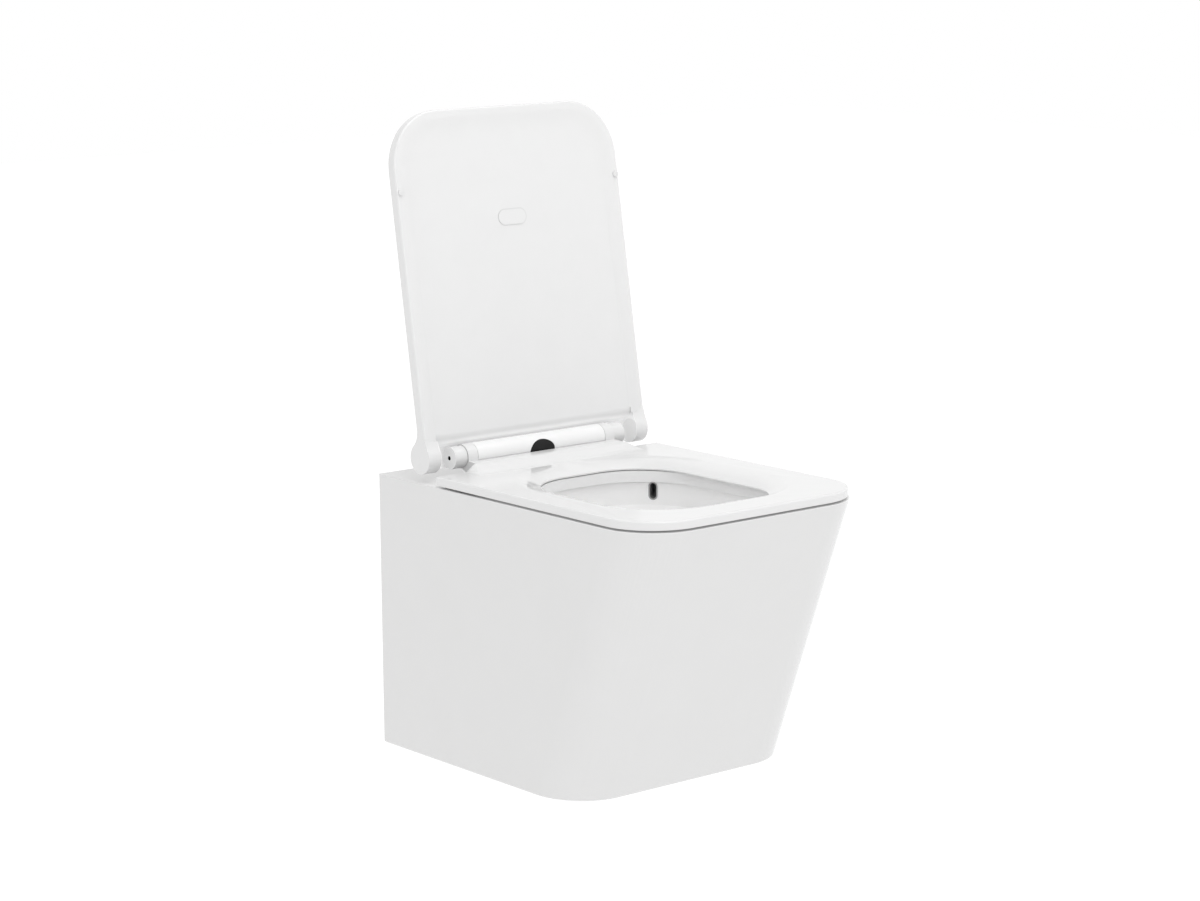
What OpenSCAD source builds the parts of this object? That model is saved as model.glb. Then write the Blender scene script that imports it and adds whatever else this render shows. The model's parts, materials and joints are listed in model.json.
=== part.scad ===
// Wall hung toilet with a raised soft-close lid and seat.
// X runs to the right, the front faces -Y, the wall is the plane y = 0 and z = 0 is the wall bolts' line.
// The lid is drawn raised, the seat lowered.

/* [Pan] */
// Width of the pan
pan_w = 360; // [340:1:390]
// Depth of the pan at the rim
pan_depth = 520; // [500:1:560]
// Depth of the pan at its underside
foot_depth = 386; // [340:1:450]
// Height of the pan
pan_h = 348; // [320:1:380]
// Radius of the front corners
corner_r = 70; // [50:1:80]
// Thickness of the skirt
skirt_t = 12; // [10:1:15]
// Thickness of the deck that carries the seat
deck_t = 14; // [12:1:17]
// Thickness of the wall that meets the bathroom wall
back_t = 16; // [12:1:22]
// Inward lip round the open underside
foot_lip = 16; // [10:1:30]
// Height of that lip
foot_lip_h = 10; // [8:1:16]

/* [Bowl] */
// Half width of the rim's inner edge
rim_half = 110; // [100:1:116]
// Distance from the wall to the rim's inner edge at the back
rim_back = 182; // [175:1:195]
// Distance from the front of the pan to the rim's inner edge
rim_front = 66; // [60:1:90]
// Corner radius of the rim's inner edge at the back
rim_r = 90; // [70:1:100]
// Corner radius of the rim's inner edge at the front
rim_front_r = 66; // [50:1:100]
// Depth of the swirl channel behind the rim
channel_d = 8; // [5:0.5:10]
// Height of the swirl channel
channel_h = 30; // [24:1:36]
// Wall of the bowl
bowl_t = 11; // [9:1:13]
// Inner radius of the sump
sump_r = 40; // [36:1:44]
// Distance from the wall to the middle of the sump
sump_back = 265; // [255:1:280]

/* [Waterways] */
// Bore radius of the trapway
trap_r = 26; // [24:0.5:27]
// Wall of the trapway
trap_t = 8; // [6:0.5:10]
// Depth of the water seal
seal_depth = 50; // [50:1:56]
// Outer radius of the waste spigot
waste_r = 51; // [49:0.5:55]
// Length of the waste spigot that a connector can cover
waste_grip = 45; // [35:1:55]
// Distance of the waste spigot below the wall bolts
waste_drop = 100; // [95:1:110]
// Outer radius of the flush spigot
flush_spigot_r = 35; // [33:0.5:38]
// Bore radius of the flush spigot's mouth
flush_mouth_r = 27.5; // [26:0.5:28.5]
// Radius of the flush pipe that plugs in
flush_pipe_r = 22.5; // [20:0.5:23]
// Distance of the flush spigot above the wall bolts
flush_rise = 35; // [30:1:40]
// Half width of the jet, a slot with round ends
jet_r = 4.2; // [5:0.1:6.2]
// Half the distance between the centres of those ends
jet_half = 5.8; // [4:0.1:5.2]
// Bore radius of the pipe that feeds the jet
feed_r = 9; // [8:0.5:9.5]
// Wall of that pipe
feed_t = 6; // [5:0.5:6]
// Sideways place of the jet
jet_x = 95; // [85:1:96]
// Depth of the jet's axis below the rim
jet_drop = 27; // [26:0.5:29]
// Wall of the jet's nozzle
nozzle_t = 1.5; // [1.2:0.1:1.6]
// Gap round the waste spigot where it passes the back wall
waste_gap = 12; // [10:1:15]

/* [Wall fixing] */
// Spacing of the two wall bolts
bolt_spacing = 180; // [180:50:230]
// Clearance radius for the wall bolts
bolt_clear_r = 6.25; // [6.2:0.05:6.6]
// Distance of the wall bolts below the rim
bolt_drop = 80; // [75:1:90]
// Bore radius of the holes in the ceramic
bolt_hole_r = 11; // [10:0.5:13]
// Flange radius of the plastic bushes
bush_flange_r = 17; // [15:1:20]
// Width across the flats of the wall nuts
nut_af = 19; // [18:1:22]
// Height of the wall nuts
nut_h = 10; // [8:1:12]

/* [Seat] */
// Thickness of the seat
seat_t = 10.5; // [9:0.5:12]
// Height of the seat above the rim
seat_lift = 2.5; // [2:0.5:4]
// Set-back of the seat from the pan's outline
seat_inset = 1.5; // [0.5:0.5:4]
// Distance from the wall to the back edge of the seat
seat_back = 120; // [119:0.5:124]
// Half width of the opening under the seat
hole_half = 103.5; // [95:0.5:106]
// Distance from the wall to the opening under the seat
hole_back = 183; // [180:1:200]
// Distance from the front of the seat to the opening under the seat
hole_front = 65.5; // [60:0.5:95]
// Corner radius of the opening's lower edge at the front
hole_front_r = 62; // [50:1:88]
// Corner radius of the opening's lower edge at the back
hole_back_r = 75; // [60:1:88]
// Height of the upright edge of the opening
hole_edge = 2; // [1.5:0.5:3]
// Dip of that edge below the seat's underside
hem_drop = 1.5; // [0.5:0.5:1.5]
// Width of the sloping margin beside the opening
scoop_side = 35.7; // [20:0.1:40]
// Width of the sloping margin in front of the opening
scoop_front = 20.7; // [15:0.1:30]
// Width of the sloping margin behind the opening
scoop_back = 31; // [20:0.1:34]
// Corner radius of the margin's outer edge at the front
scoop_front_r = 98; // [70:1:110]
// Corner radius of the margin's outer edge at the back
scoop_back_r = 108; // [70:1:120]
// Width over which the raised back edge fades out at its ends
lip_fade = 16; // [10:1:20]
// Height of the raised back edge above the seat
lip_rise = 9.6; // [5:0.1:10]
// Thickness of the seat's bumpers
seat_pad_t = 2.2; // [1.6:0.1:2.3]

/* [Lid] */
// Width of the lid
lid_w = 352; // [330:1:356]
// Thickness of the lid
lid_t = 14.5; // [12:0.5:17]
// Overhang of the lid past the front of the pan
lid_over = 1; // [-4:0.5:4]
// Corner radius of the lid
lid_r = 72; // [50:1:90]
// Radius of the roll at the back of the lid
roll_r = 19.5; // [19:0.5:21]
// Fillet between the roll and the top of the lid
roll_fillet = 23; // [16:1:40]
// Thickness of the cheeks at the ends of the roll
cheek_t = 19; // [12:1:22]
// Width of the flat rim under the lid
lid_rim = 11; // [8:1:16]
// Width of the cove inside that rim
lid_cove = 11; // [6:1:18]
// Depth of the dished underside
lid_dish = 4.3; // [2:0.1:4.5]
// Rounding where the dished face turns in behind the hinge bar
lid_soft = 14; // [8:0.5:16]
// Angle of the raised lid past the upright
lid_lean = 9.2; // [5:0.1:9.5]
// Length of the plain pill-shaped mark under the lid
pill_l = 44; // [30:1:50]
// Width of that mark
pill_w = 20; // [12:1:24]
// Distance of the pill-shaped mark from the hinge axis
pill_at = 290; // [250:1:350]
// Distance of the lid's bumpers from the hinge axis
lid_pad_at = 332; // [250:1:350]
// Thickness of the lid's bumpers
lid_pad_t = 2; // [1.5:0.1:2.2]

/* [Hinge] */
// Height of the hinge axis above the rim
axis_rise = 27; // [26.5:0.1:29]
// Distance from the wall to the hinge axis
axis_back = 91; // [90:0.5:93]
// Outer radius of the hinge bar and the seat's lugs
bar_r = 15.5; // [15:0.1:18]
// Half length of the hinge bar
bar_half = 102; // [98:0.1:108]
// Wall of the hinge bar's cover
cover_t = 2.5; // [2:0.1:3]
// Width of the seat's lugs
lug_w = 14.8; // [9:0.1:16]
// Width of the lid's knuckles
knuckle_w = 18; // [14:0.5:18]
// Radius of the lid's knuckles
knuckle_r = 14; // [12:0.1:15]
// Gap between neighbours along the hinge axis
row_gap = 0.5; // [0.3:0.1:0.8]
// Gap between the hinge bar and what turns round it
turn_gap = 0.8; // [0.5:0.1:1.2]
// Radius of the damper bodies
damper_r = 8; // [7:0.5:8.5]
// Length of the damper bodies
damper_l = 30; // [24:1:30]
// Radius of the damper shafts
shaft_r = 4; // [3.5:0.1:4.5]
// Wall of the plain bushes
bush_t = 2.4; // [1.5:0.1:3]
// Running clearance of shafts and bushes
run_gap = 0.06; // [0.03:0.01:0.09]
// Radius of the hole in the knuckles' outer ends
pin_hole_r = 2.4; // [1.5:0.1:3]

/* [Seat fixing] */
// Spacing of the two seat fixings
fix_spacing = 155; // [150:1:160]
// Radius of the fixing holes in the deck
fix_hole_r = 8; // [7:0.5:9]
// Radius of the fixing screws
screw_r = 4; // [3:0.5:4]
// Radius of the fixing screws' heads
screw_head_r = 6.5; // [6:0.5:7]
// Length of the rubber sleeves
sleeve_l = 36; // [28:1:45]
// Thickness of the base plates
base_t = 4.7; // [4:0.1:5]
// Depth of the base plates, front to back
base_d = 26; // [24:0.5:28]
// Adjustment of the base plates each way
adjust = 5; // [3:0.5:5]
// Distance of the posts from the middle
post_x = 50; // [48:0.5:50]
// Radius of the posts
post_r = 5; // [4.5:0.1:5.2]
// Radius of the posts' groove
groove_r = 3.2; // [2.8:0.1:3.4]

/* [Release] */
// Half width of the release button
button_half = 19.4; // [16:0.2:20]
// Height of the button's round top
button_rise = 13.8; // [12:0.2:14]
// Travel of the button
press = 3; // [2:0.5:3]
// Height of the sliders
slider_h = 6; // [5:0.5:6]
// Radius of the spring clips' wire
clip_wire_r = 0.7; // [0.5:0.1:0.8]

/* [Hidden] */
$fn = 64;
eps = 0.01;
fit = 0.3;

rim_z = bolt_drop;
foot_z = rim_z - pan_h;
front_slope = atan((pan_depth - foot_depth) / pan_h);
// Place of the sloping front, measured square to it
front_v = -pan_depth * cos(front_slope) + rim_z * sin(front_slope);

// The side panels end behind the round corners
front_cut_y = -foot_depth + corner_r + skirt_t;
rim_front_y = -pan_depth + rim_front;
channel_z = rim_z - deck_t - channel_h;
jet_z = rim_z - jet_drop;
jet_turn = -asin((jet_x - rim_half + rim_r) / (rim_r + channel_d));
jet_y = -rim_back - rim_r + (rim_r + channel_d) * cos(jet_turn);
elbow_x = jet_x - 26 * sin(jet_turn);
elbow_y = jet_y + 26 * cos(jet_turn);
feed_z = jet_z - 2;

crest_z = -waste_drop + 13;
dip_z = crest_z - seal_depth;
low_bend = trap_r + 22;
top_bend = trap_r + 19;
bend_y = -190;
riser_y = bend_y + low_bend;
top_y = riser_y + top_bend;
top_z = crest_z - (top_bend - trap_r);
bend_z = dip_z + (low_bend - trap_r);
passage_c = bend_z - low_bend;
joint_y = -203;
spigot_y = -4;
waste_bore_r = waste_r - trap_t;
duct_r = 20;
duct_t = 9;

axis_y = -axis_back;
axis_z = rim_z + axis_rise;
seat_z = rim_z + seat_lift;
seat_front_y = -pan_depth + seat_inset;
seat_half = pan_w / 2 - seat_inset;
lug_in = bar_half + row_gap;
lug_out = lug_in + lug_w;
knuckle_in = lug_out + row_gap;
knuckle_out = knuckle_in + knuckle_w;
cheek_in = lid_w / 2 - cheek_t;
sweep_r = bar_r + turn_gap;
cove_r = sweep_r + 1.7;
web_half = 8;

under_n = axis_rise - seat_lift - seat_t - 5.2;
lid_l = pan_depth + lid_over - axis_back;
roll_u = 4.1;
roll_z = 6.2;
lid_top = lid_t - under_n;
lid_fillet_u = roll_u + sqrt(pow(roll_r + roll_fillet, 2) - pow(roll_fillet + lid_top - roll_z, 2));
lid_floor = lid_dish - under_n;
under_fillet = 40;
under_fillet_u = roll_u + sqrt(pow(roll_r + under_fillet, 2) - pow(under_fillet + under_n + roll_z, 2));
lid_turn = -(90 + lid_lean);

base_in = 38;
base_out = 97;
base_z = rim_z + fit + 1;
base_top = base_z + base_t;
slot_half = adjust + fit;
washer_t = 1.2;
head_z = base_top + fit + washer_t;
post_top = axis_z + 5;
clip_z = axis_z - 5.5;
chassis_r = bar_r - cover_t - fit;
chassis_low = axis_z - bar_r + 4.5;
damper_out = bar_half - 1.5;
damper_in = damper_out - damper_l;
damper_key = damper_r - 0.8;
wedge_half = 9;
wedge_root = -11;
wedge_tip = -4;
leg_y = groove_r + clip_wire_r + run_gap;
clip_in = post_x - 9;
clip_bend = post_x + 16;

// Points of an arc, in degrees
function arc(c, r, a, b, n = 16) =
    [for (i = [0:n]) let (t = a + (b - a) * i / n) c + r * [cos(t), sin(t)]];

// Closed outline with its own corner radius at the front and at the back
function tub(half, front, back, rf, rb) = concat(
    arc([-half + rf, front + rf], rf, 180, 270),
    arc([half - rf, front + rf], rf, 270, 360),
    arc([half - rb, back - rb], rb, 0, 90),
    arc([-half + rb, back - rb], rb, 90, 180));

// Outline that is open at the back, from exact arcs
module u_plan(half, front, r, back) {
    translate([-half, front + r]) square([2 * half, back - front - r]);
    translate([r - half, front]) square([2 * (half - r), r + 1]);
    for (s = [-1, 1]) translate([s * (half - r), front + r]) circle(r);
}

// Rounded rectangle from exact arcs, with its own radius at the front and at the back
module round_plan(half, front, back, rf, rb) {
    translate([-half, front + rf]) square([2 * half, back - front - rf - rb]);
    translate([rf - half, front]) square([2 * (half - rf), rf + 1]);
    translate([rb - half, back - rb - 1]) square([2 * (half - rb), rb + 1]);
    for (s = [-1, 1]) {
        translate([s * (half - rf), front + rf]) circle(rf);
        translate([s * (half - rb), back - rb]) circle(rb);
    }
}

// Extrudes a side profile (y, z) across the width
module across(x0, x1) {
    translate([x0, 0, 0]) rotate([90, 0, 90]) linear_extrude(x1 - x0) children();
}

module rod_x(x0, x1, r, y = 0, z = 0) {
    translate([x0, y, z]) rotate([0, 90, 0]) cylinder(r = r, h = x1 - x0);
}

module rod_y(y0, y1, r, x = 0, z = 0) {
    translate([x, y0, z]) rotate([-90, 0, 0]) cylinder(r = r, h = y1 - y0);
}

// Prism of the pan, parallel to the sloping front, drawn in by some distance
module pan_prism(inset, low, high, back) {
    intersection() {
        rotate([front_slope, 0, 0]) translate([0, 0, -pan_h - pan_depth])
            linear_extrude(2 * (pan_h + pan_depth))
                u_plan(pan_w / 2 - inset, front_v + inset, corner_r - inset, pan_depth);
        translate([-pan_w, -2 * pan_depth, low]) cube([2 * pan_w, 2 * pan_depth - back, high - low]);
    }
}

// The whole ceramic shell, which is handed in as five panels that meet face to face
module pan_shell() {
    difference() {
        pan_prism(0, foot_z, rim_z, 0);
        pan_prism(skirt_t, foot_z + foot_lip_h, rim_z - deck_t, back_t);
        pan_prism(skirt_t + foot_lip, foot_z - 1, foot_z + foot_lip_h + 1, back_t + foot_lip);
        translate([0, 0, rim_z - deck_t - 1]) linear_extrude(deck_t + 2)
            rim_plan(0);
        for (s = [-1, 1]) {
            rod_y(-back_t - 1, 1, bolt_hole_r, s * bolt_spacing / 2, 0);
            translate([s * fix_spacing / 2, axis_y, rim_z - deck_t - 1])
                cylinder(r = fix_hole_r, h = deck_t + 2);
        }
        rod_y(-back_t - 1, 1, waste_r + waste_gap, 0, -waste_drop);
        rod_y(-back_t - 1, 1, flush_spigot_r, 0, flush_rise);
    }
}

// The part of the shell inside a box
module shell_panel(x0, x1, y0, y1, z0, z1) {
    color("white") intersection() {
        pan_shell();
        translate([x0, y0, z0]) cube([x1 - x0, y1 - y0, z1 - z0]);
    }
}

module pan_deck() { shell_panel(-pan_w, pan_w, -2 * pan_depth, 1, rim_z - deck_t, rim_z + 1); }
module pan_back() { shell_panel(-pan_w, pan_w, -back_t, 1, foot_z - 1, rim_z - deck_t); }
module pan_front() { shell_panel(-pan_w, pan_w, -2 * pan_depth, front_cut_y, foot_z - 1, rim_z - deck_t); }
module pan_side_left() { shell_panel(-pan_w, 0, front_cut_y, -back_t, foot_z - 1, rim_z - deck_t); }
module pan_side_right() { shell_panel(0, pan_w, front_cut_y, -back_t, foot_z - 1, rim_z - deck_t); }

// Rim outline pushed outwards
module rim_plan(out) {
    round_plan(rim_half + out, rim_front_y - out, -rim_back + out, rim_front_r + out, rim_r + out);
}

module funnel(out, top) {
    hull() {
        translate([0, 0, channel_z - 1]) linear_extrude(1) rim_plan(out, $fn = 48);
        translate([0, -sump_back - 12, channel_z - 95]) linear_extrude(1) oval(74 + out, 82 + out);
        translate([0, -sump_back, passage_c + 14]) cylinder(r = sump_r + out - channel_d, h = 1, $fn = 32);
    }
    if (top > 0) translate([0, 0, channel_z - eps]) linear_extrude(top) rim_plan(out);
}

// Ellipse as a polygon
module oval(a, b) {
    polygon([for (i = [0:39]) [a * cos(i * 9), b * sin(i * 9)]]);
}

// The whole bowl, which is handed in as its upright upper part and the rest
module bowl_shell() {
    difference() {
        union() {
            funnel(channel_d + bowl_t, channel_h + eps);
            translate([0, -sump_back, passage_c + 14]) sphere(sump_r + bowl_t);
            rod_y(-sump_back, joint_y, trap_r + trap_t, 0, passage_c);
        }
        funnel(channel_d, channel_h + 1);
        translate([0, -sump_back, passage_c + 14]) sphere(sump_r);
        rod_y(-sump_back, joint_y + 1, trap_r, 0, passage_c);
        jet_slot(-20, bowl_t + 20, nozzle_t + fit / 2);
    }
}

// Everything above the foot of the swirl channel
module above_channel() {
    translate([-pan_w, -2 * pan_depth, channel_z]) cube([2 * pan_w, 2 * pan_depth, pan_h]);
}

module swirl_channel() {
    color("white") intersection() {
        bowl_shell();
        above_channel();
    }
}

module bowl() {
    color("white") difference() {
        bowl_shell();
        above_channel();
    }
}

// Upright slot with round ends that runs square through the bowl's wall, counted from its inner face
module jet_slot(y0, y1, grow) {
    translate([jet_x, jet_y, jet_z]) rotate([0, 0, jet_turn]) translate([0, y1, 0]) rotate([90, 0, 0])
        linear_extrude(y1 - y0) {
            for (s = [-1, 1]) translate([0, s * jet_half]) circle(jet_r + grow);
            square([2 * (jet_r + grow), 2 * jet_half], center = true);
        }
}

module trap_run(r) {
    rod_y(joint_y, bend_y, r, 0, passage_c);
    translate([0, bend_y, bend_z]) rotate([0, 90, 0])
        rotate_extrude(angle = 90) translate([low_bend, 0]) circle(r);
    translate([0, riser_y, bend_z]) cylinder(r = r, h = top_z - bend_z);
    translate([0, top_y, top_z]) rotate([0, -90, 0])
        rotate([0, 0, -90]) rotate_extrude(angle = 180) translate([top_bend, 0]) circle(r);
}

module trapway() {
    chamber_y = riser_y + trap_r + 9;
    color("white") difference() {
        union() {
            intersection() {
                trap_run(trap_r + trap_t);
                translate([-pan_w, -pan_depth, foot_z])
                    cube([2 * pan_w, pan_depth + spigot_y - waste_grip, pan_h]);
            }
            // The spigot ends at a shoulder that stops the connector
            rod_y(chamber_y - trap_t, spigot_y - waste_grip, waste_r + 2, 0, -waste_drop);
            rod_y(spigot_y - waste_grip - 1, spigot_y, waste_r, 0, -waste_drop);
            // Web that ties the trapway to the flush duct
            translate([-6, -130, crest_z]) cube([12, 80, flush_rise - crest_z]);
        }
        rod_y(-140, -40, duct_r + duct_t, 0, flush_rise);
        trap_run(trap_r);
        rod_y(chamber_y, spigot_y + 1, waste_bore_r, 0, -waste_drop);
        rod_y(joint_y - 1, joint_y + eps, trap_r, 0, passage_c);
    }
}

module flush_duct() {
    cross_y = -rim_back + channel_d + bowl_t + 22;
    color("white") difference() {
        union() {
            rod_y(cross_y - 4, spigot_y, duct_r + duct_t, 0, flush_rise);
            rod_y(spigot_y - 44, spigot_y, flush_spigot_r, 0, flush_rise);
            feed_pipe(-18, cross_y, feed_r + feed_t);
            jet_slot(6, 30, nozzle_t + 5);
        }
        rod_y(cross_y, spigot_y + 1, duct_r, 0, flush_rise);
        rod_y(spigot_y - 40, spigot_y + 1, flush_mouth_r, 0, flush_rise);
        feed_pipe(-10, cross_y, feed_r);
        bowl_block();
        jet_slot(-1, 19.3, nozzle_t + run_gap);
        jet_slot(-1, 26, 0);
        // The deck takes over above the duct
        translate([-pan_w, -pan_depth, rim_z - deck_t]) cube([2 * pan_w, pan_depth - back_t, deck_t]);
    }
}

// Pipe that runs across behind the bowl and turns forward to the jet
module feed_pipe(x0, y, r) {
    rod_x(x0, elbow_x, r, y, feed_z);
    rod_y(elbow_y, y, r, elbow_x, feed_z);
    for (end = [y, elbow_y]) translate([elbow_x, end, feed_z]) sphere(r);
}

// Space that the bowl takes, for pieces that butt against it
module bowl_block() {
    funnel(channel_d + bowl_t + fit, channel_h + 1);
}

module jet_nozzle() {
    color("whitesmoke") difference() {
        jet_slot(-0.6, 19, nozzle_t);
        jet_slot(-2, 20, 0);
    }
}

module inlet_seal() {
    color([0.15, 0.15, 0.16]) difference() {
        union() {
            rod_y(spigot_y - 36, spigot_y, flush_mouth_r - run_gap, 0, flush_rise);
            rod_y(spigot_y, spigot_y + 3, flush_mouth_r + 3, 0, flush_rise);
        }
        rod_y(spigot_y - 37, spigot_y + 4, flush_pipe_r + 1.6, 0, flush_rise);
    }
    color([0.15, 0.15, 0.16]) for (y = [-33, -24, -15]) difference() {
        rod_y(spigot_y + y, spigot_y + y + 3, flush_pipe_r + 2, 0, flush_rise);
        rod_y(spigot_y + y - 1, spigot_y + y + 4, flush_pipe_r, 0, flush_rise);
    }
}

module bolt_rings(y0, y1, r, bore) {
    for (s = [-1, 1]) difference() {
        rod_y(y0, y1, r, s * bolt_spacing / 2, 0);
        rod_y(y0 - 1, y1 + 1, bore, s * bolt_spacing / 2, 0);
    }
}

module wall_bushes() {
    color("gainsboro") for (s = [-1, 1]) difference() {
        union() {
            rod_y(-back_t - 1, 0, bolt_hole_r - fit / 2, s * bolt_spacing / 2, 0);
            rod_y(-back_t - 3, -back_t, bush_flange_r, s * bolt_spacing / 2, 0);
        }
        rod_y(-back_t - 4, 1, bolt_clear_r, s * bolt_spacing / 2, 0);
    }
}

module wall_washers() {
    color("silver") bolt_rings(-back_t - 5.5, -back_t - 3, bush_flange_r - 2, bolt_clear_r);
}

module wall_nuts() {
    y1 = -back_t - 5.5;
    color("silver") for (s = [-1, 1]) difference() {
        translate([s * bolt_spacing / 2, y1 - nut_h, 0]) rotate([-90, 0, 0])
            cylinder(r = nut_af / sqrt(3), h = nut_h, $fn = 6);
        rod_y(y1 - nut_h - 1, y1 + 1, bolt_clear_r, s * bolt_spacing / 2, 0);
    }
}

// Places what follows at both seat fixings
module at_fixings() {
    for (s = [-1, 1]) translate([s * fix_spacing / 2, axis_y, 0]) children();
}

module seat_sleeves() {
    color([0.2, 0.2, 0.2]) at_fixings() translate([0, 0, rim_z - sleeve_l]) difference() {
        cylinder(r = fix_hole_r - fit / 2, h = sleeve_l);
        translate([0, 0, -1]) cylinder(r = screw_r + fit / 2, h = sleeve_l + 2);
    }
}

module sleeve_nuts() {
    color("silver") at_fixings() translate([0, 0, rim_z - sleeve_l - 8]) difference() {
        cylinder(r = fix_hole_r - 0.5, h = 8, $fn = 6);
        translate([0, 0, -1]) cylinder(r = screw_r + run_gap, h = 10);
    }
}

module seat_screws() {
    low = rim_z - sleeve_l - 12;
    color("silver") at_fixings() difference() {
        union() {
            translate([0, 0, low]) cylinder(r = screw_r, h = head_z - low + eps);
            translate([0, 0, head_z]) cylinder(r = screw_head_r, h = 3);
        }
        translate([0, 0, head_z + 0.8]) cylinder(r = 2.9, h = 3, $fn = 6);
    }
}

module screw_washers() {
    color("silver") at_fixings() translate([0, 0, base_top + fit]) difference() {
        cylinder(r = screw_head_r + 1.5, h = washer_t);
        translate([0, 0, -1]) cylinder(r = screw_r + fit / 2, h = washer_t + 2);
    }
}

// Rounded plan of a base plate, with its slot round the fixing screw
module base_plan(grow = 0) {
    r = base_d / 2;
    difference() {
        union() {
            translate([base_in + r, axis_y]) circle(r + grow);
            translate([base_out - r, axis_y]) circle(r + grow);
            translate([base_in + r, axis_y - r - grow]) square([base_out - base_in - 2 * r, 2 * (r + grow)]);
        }
        translate([fix_spacing / 2, axis_y]) slot_plan(screw_r + fit / 2 + 0.15);
    }
}

module slot_plan(r) {
    for (s = [-1, 1]) translate([0, s * slot_half]) circle(r);
    translate([-r, -slot_half]) square([2 * r, 2 * slot_half]);
}

module base_plate() {
    difference() {
        translate([0, 0, base_z]) linear_extrude(base_t) base_plan();
        translate([post_x, axis_y, base_z - 1]) cylinder(r = post_r - 1.5 + run_gap, h = base_t + 2);
    }
}

module base_plate_left() { color("gainsboro") mirror([1, 0, 0]) base_plate(); }
module base_plate_right() { color("gainsboro") base_plate(); }

module base_pads() {
    color([0.2, 0.2, 0.2]) for (m = [0, 1]) mirror([m, 0, 0])
        translate([0, 0, rim_z + fit]) linear_extrude(1) difference() {
            base_plan(-0.8);
            translate([fix_spacing / 2, axis_y]) slot_plan(screw_r + 2);
        }
}

module posts() {
    color("silver") for (s = [-1, 1]) translate([s * post_x, axis_y, 0]) difference() {
        union() {
            translate([0, 0, base_z]) cylinder(r = post_r - 1.5, h = base_t + eps);
            translate([0, 0, base_top]) cylinder(r = post_r, h = post_top - 3 - base_top);
            translate([0, 0, post_top - 3 - eps]) cylinder(r1 = post_r, r2 = post_r - 2.5, h = 3);
        }
        translate([0, 0, clip_z - 1]) difference() {
            cylinder(r = post_r + 1, h = 2);
            translate([0, 0, -1]) cylinder(r = groove_r, h = 4);
        }
    }
}

// Round-topped outline of the release button, as seen from the front
module button_plan(grow = 0) {
    low = axis_z - 10;
    mid = axis_z - axis_rise + seat_lift + seat_t + lip_rise;
    translate([0, 0]) polygon(concat(
        [[button_half + grow, low - grow]],
        [for (i = [0:24]) [(button_half + grow) * cos(i * 7.5), mid + (button_rise + grow) * sin(i * 7.5)]],
        [[-button_half - grow, low - grow]]));
}

module button_prism(grow, y0, y1) {
    translate([0, y1, 0]) rotate([90, 0, 0]) linear_extrude(y1 - y0) button_plan(grow);
}

module bar_cover() {
    color("white") difference() {
        translate([0, axis_y, axis_z]) difference() {
            rod_x(-bar_half, bar_half, bar_r);
            rod_x(-bar_half - 1, bar_half + 1, bar_r - cover_t);
            translate([-bar_half - 1, -bar_r - 1, -bar_r - 1]) cube([2 * bar_half + 2, 2 * bar_r + 2, 5]);
        }
        button_prism(fit, axis_y - bar_r - 1, axis_y - 3);
    }
}

module bar_chassis() {
    slide_half = 7.4;
    color("lightgray") difference() {
        intersection() {
            translate([0, axis_y, axis_z]) rod_x(-bar_half + 0.5, bar_half - 0.5, chassis_r);
            translate([-bar_half, axis_y - bar_r, chassis_low]) cube([2 * bar_half, 2 * bar_r, 2 * bar_r]);
        }
        // Damper bores, with a flat that keys the dampers
        for (s = [0, 1]) mirror([s, 0, 0]) translate([0, axis_y, axis_z]) difference() {
            rod_x(damper_in, bar_half + 1, damper_r + run_gap);
            translate([damper_in - 1, -damper_r, damper_key + run_gap])
                cube([damper_l + 4, 2 * damper_r, 3]);
        }
        // Post bores and clip pockets
        for (s = [-1, 1]) {
            translate([s * post_x, axis_y, chassis_low - 1])
                cylinder(r = post_r + fit, h = post_top + fit - chassis_low + 1);
        }
        for (m = [0, 1]) mirror([m, 0, 0])
            translate([post_x - 14, axis_y - 7, clip_z - clip_wire_r - fit])
                cube([35, 14, 2 * (clip_wire_r + fit)]);
        // Slider way
        translate([post_r - post_x, axis_y - slide_half, clip_z - slider_h / 2 - fit])
            cube([2 * (post_x - post_r), 2 * slide_half, slider_h + 2 * fit]);
        // Button pocket and spring pocket
        button_prism(fit, axis_y - bar_r - 1, axis_y + wedge_root + press + fit);
        translate([-wedge_half - fit, axis_y + wedge_root - 1, clip_z - 4.5])
            cube([2 * (wedge_half + fit), 12, 9]);
        rod_y(axis_y - 12, axis_y, 3.2, 0, axis_z + 5);
    }
}

module damper(shaft_from) {
    color("dimgray") difference() {
        rod_x(damper_in + fit, damper_out, damper_r);
        rod_x(shaft_from - 1, damper_out + 1, shaft_r + run_gap);
        translate([damper_in, -damper_r, damper_key]) cube([damper_l + 2, 2 * damper_r, 3]);
    }
}

module lid_damper() { translate([0, axis_y, axis_z]) mirror([1, 0, 0]) damper(damper_out - 14); }
module seat_damper() { translate([0, axis_y, axis_z]) damper(damper_out - 14); }

// Shaft with two flats over one stretch
module shaft(flat0, flat1) {
    color("silver") difference() {
        rod_x(damper_out - 13.5, knuckle_out - 4, shaft_r);
        for (s = [-1, 1]) translate([flat0, -5, s > 0 ? shaft_r * 0.75 : -shaft_r * 0.75 - 5])
            cube([flat1 - flat0, 10, 5]);
    }
}

// Bore that grips the flats of a shaft
module keyed_bore(x0, x1) {
    h = shaft_r * 0.75 + run_gap;
    intersection() {
        rod_x(x0, x1, shaft_r + run_gap);
        translate([x0, -10, -h]) cube([x1 - x0, 20, 2 * h]);
    }
}

module lid_shaft() {
    translate([0, axis_y, axis_z]) mirror([1, 0, 0]) rotate([lid_turn, 0, 0]) shaft(knuckle_in, knuckle_out);
}

module seat_shaft() {
    translate([0, axis_y, axis_z]) shaft(lug_in, lug_out);
}

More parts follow.
